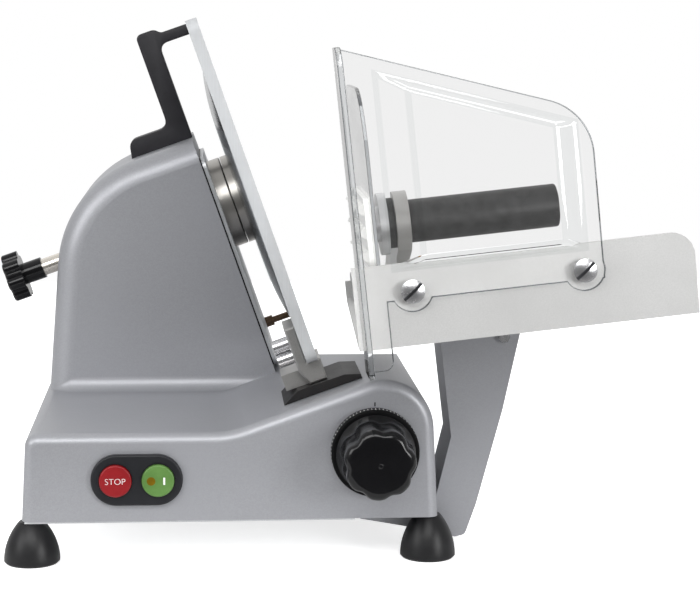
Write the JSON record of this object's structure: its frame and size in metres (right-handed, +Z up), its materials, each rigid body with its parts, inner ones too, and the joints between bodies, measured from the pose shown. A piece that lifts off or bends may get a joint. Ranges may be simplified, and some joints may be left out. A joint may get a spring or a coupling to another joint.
{
  "type": "food slicer",
  "caption": "Gravity-feed food slicer: cast base and tower, tilted disc blade, gauge plate with dial, sliding tilting carriage with clear guard and pusher.",
  "frame": {"origin": "middle of the machine's box in plan, on the surface that its feet stand on", "axes": "+X to the operator's right, +Y away from the operator, +Z up"},
  "size_m": [0.4719, 0.4785, 0.3683],
  "materials": {
    "cast_paint": "satin silver-grey paint on cast aluminium",
    "anodised": "satin anodised",
    "machined": "machined",
    "steel": "turned and ground",
    "blade_steel": "polished stainless steel",
    "bright_screws": "bright plated",
    "black_steel": "black oxide",
    "stay_black": "matte black paint on cast aluminium",
    "clear": "clear polycarbonate",
    "black_gloss": "moulded, glossy",
    "grip": "moulded, fine texture",
    "dark_plastic": "moulded",
    "white_plastic": "acetal",
    "red": "moulded",
    "green": "moulded",
    "amber": "lens",
    "rubber": "moulded",
    "motor_body": "painted windings and frame",
    "bronze": "sintered"
  },
  "bodies": {
    "base": {"base_casting": "cast_paint", "bottom_plate": "anodised", "foot_front_left": "rubber", "foot_front_right": "rubber", "foot_rear_left": "rubber", "foot_rear_right": "rubber", "foot_screws": "steel", "cable_gland": "dark_plastic", "switch_bezel": "dark_plastic", "switch_block": "dark_plastic", "tower_gasket": "rubber", "tower_face_plate": "anodised", "face_plate_screws": "bright_screws", "hub_boss": "machined", "spindle": "steel", "blade_cover": "anodised", "ring_guard": "anodised", "ring_post": "black_steel", "guard_stay": "stay_black", "motor": "motor_body", "drive_belt": "rubber", "gauge_guide_rods": "steel", "carriage_rod": "steel", "carriage_rail": "steel"},
    "blade_rotor": {"blade": "blade_steel", "blade_hub": "steel", "hub_bearings": "steel", "driven_pulley": "machined", "blade_screws": "bright_screws"},
    "motor_rotor": {"motor_shaft": "steel", "drive_pulley": "machined"},
    "tie": {"tie_rod": "steel", "tie_rod_knob": "black_gloss"},
    "dial": {"dial_ring": "black_gloss", "thickness_knob": "black_gloss", "knob_shaft": "steel", "cam_disc": "machined"},
    "gauge": {"gauge_plate": "anodised", "gauge_bracket": "machined", "gauge_post": "machined", "gauge_bolts": "bright_screws", "slot_cover": "dark_plastic", "gauge_slide_block": "machined"},
    "carriage_slider": {"carriage_slide_block": "machined"},
    "carriage": {"carriage_arm": "cast_paint", "tray": "anodised", "tray_bolt": "bright_screws", "guard": "clear", "guard_screws": "bright_screws", "pusher_rod": "steel"},
    "pusher_slider": {"pusher_bush": "bronze"},
    "pusher": {"pusher_arm": "machined", "pusher_core": "machined", "pusher_spacer": "white_plastic", "pusher_shield": "clear", "pusher_plate": "white_plastic", "pusher_grip": "grip"},
    "stop": {"stop_button": "red"},
    "start": {"start_button": "green", "start_lamp": "amber"}
  },
  "joints": [
    {"name": "blade_spin", "type": "hinge", "parent": "base", "child": "blade_rotor", "pos_m": [-0.0366, 0.101, 0.2357], "axis": [0.9426, 0, 0.3338], "continuous": true},
    {"name": "motor_spin", "type": "hinge", "parent": "base", "child": "motor_rotor", "pos_m": [-0.00456, 0.101, 0.14521], "axis": [0.9426, 0, 0.3338], "continuous": true},
    {"name": "tie_rod_turn", "type": "hinge", "parent": "base", "child": "tie", "pos_m": [-0.0366, 0.101, 0.2357], "axis": [0.9426, 0, 0.3338], "continuous": true},
    {"name": "dial_turn", "type": "hinge", "parent": "base", "child": "dial", "pos_m": [0.036, -0.124, 0.0767], "axis": [0, -1, 0], "range_deg": [0, 300]},
    {"name": "gauge_slide", "type": "slide", "parent": "base", "child": "gauge", "axis": [-0.9426, 0, -0.3338], "range_m": [0, 0.014]},
    {"name": "carriage_travel", "type": "slide", "parent": "base", "child": "carriage_slider", "axis": [0, 1, 0], "range_m": [0, 0.222]},
    {"name": "carriage_tilt", "type": "hinge", "parent": "carriage_slider", "child": "carriage", "pos_m": [0.058, -0.124, 0.062], "axis": [0, -1, 0], "range_deg": [0, 13.3]},
    {"name": "pusher_travel", "type": "slide", "parent": "carriage", "child": "pusher_slider", "axis": [0.9942, 0, 0.108], "range_m": [0, 0.13]},
    {"name": "pusher_swing", "type": "hinge", "parent": "pusher_slider", "child": "pusher", "pos_m": [0.01689, 0.001, 0.17292], "axis": [-0.9942, 0, -0.108], "range_deg": [0, 95]},
    {"name": "stop_press", "type": "slide", "parent": "base", "child": "stop", "axis": [0, 1, 0], "range_m": [0, 0.003], "stiffness_N_per_m": 400, "springref_m": -0.002},
    {"name": "start_press", "type": "slide", "parent": "base", "child": "start", "axis": [0, 1, 0], "range_m": [0, 0.003], "stiffness_N_per_m": 400, "springref_m": -0.002}
  ],
  "couplings": [
    {"joint": "motor_spin", "follows": "blade_spin", "ratio": 3.0667},
    {"joint": "dial_turn", "follows": "gauge_slide", "rad_per_m": 374}
  ]
}
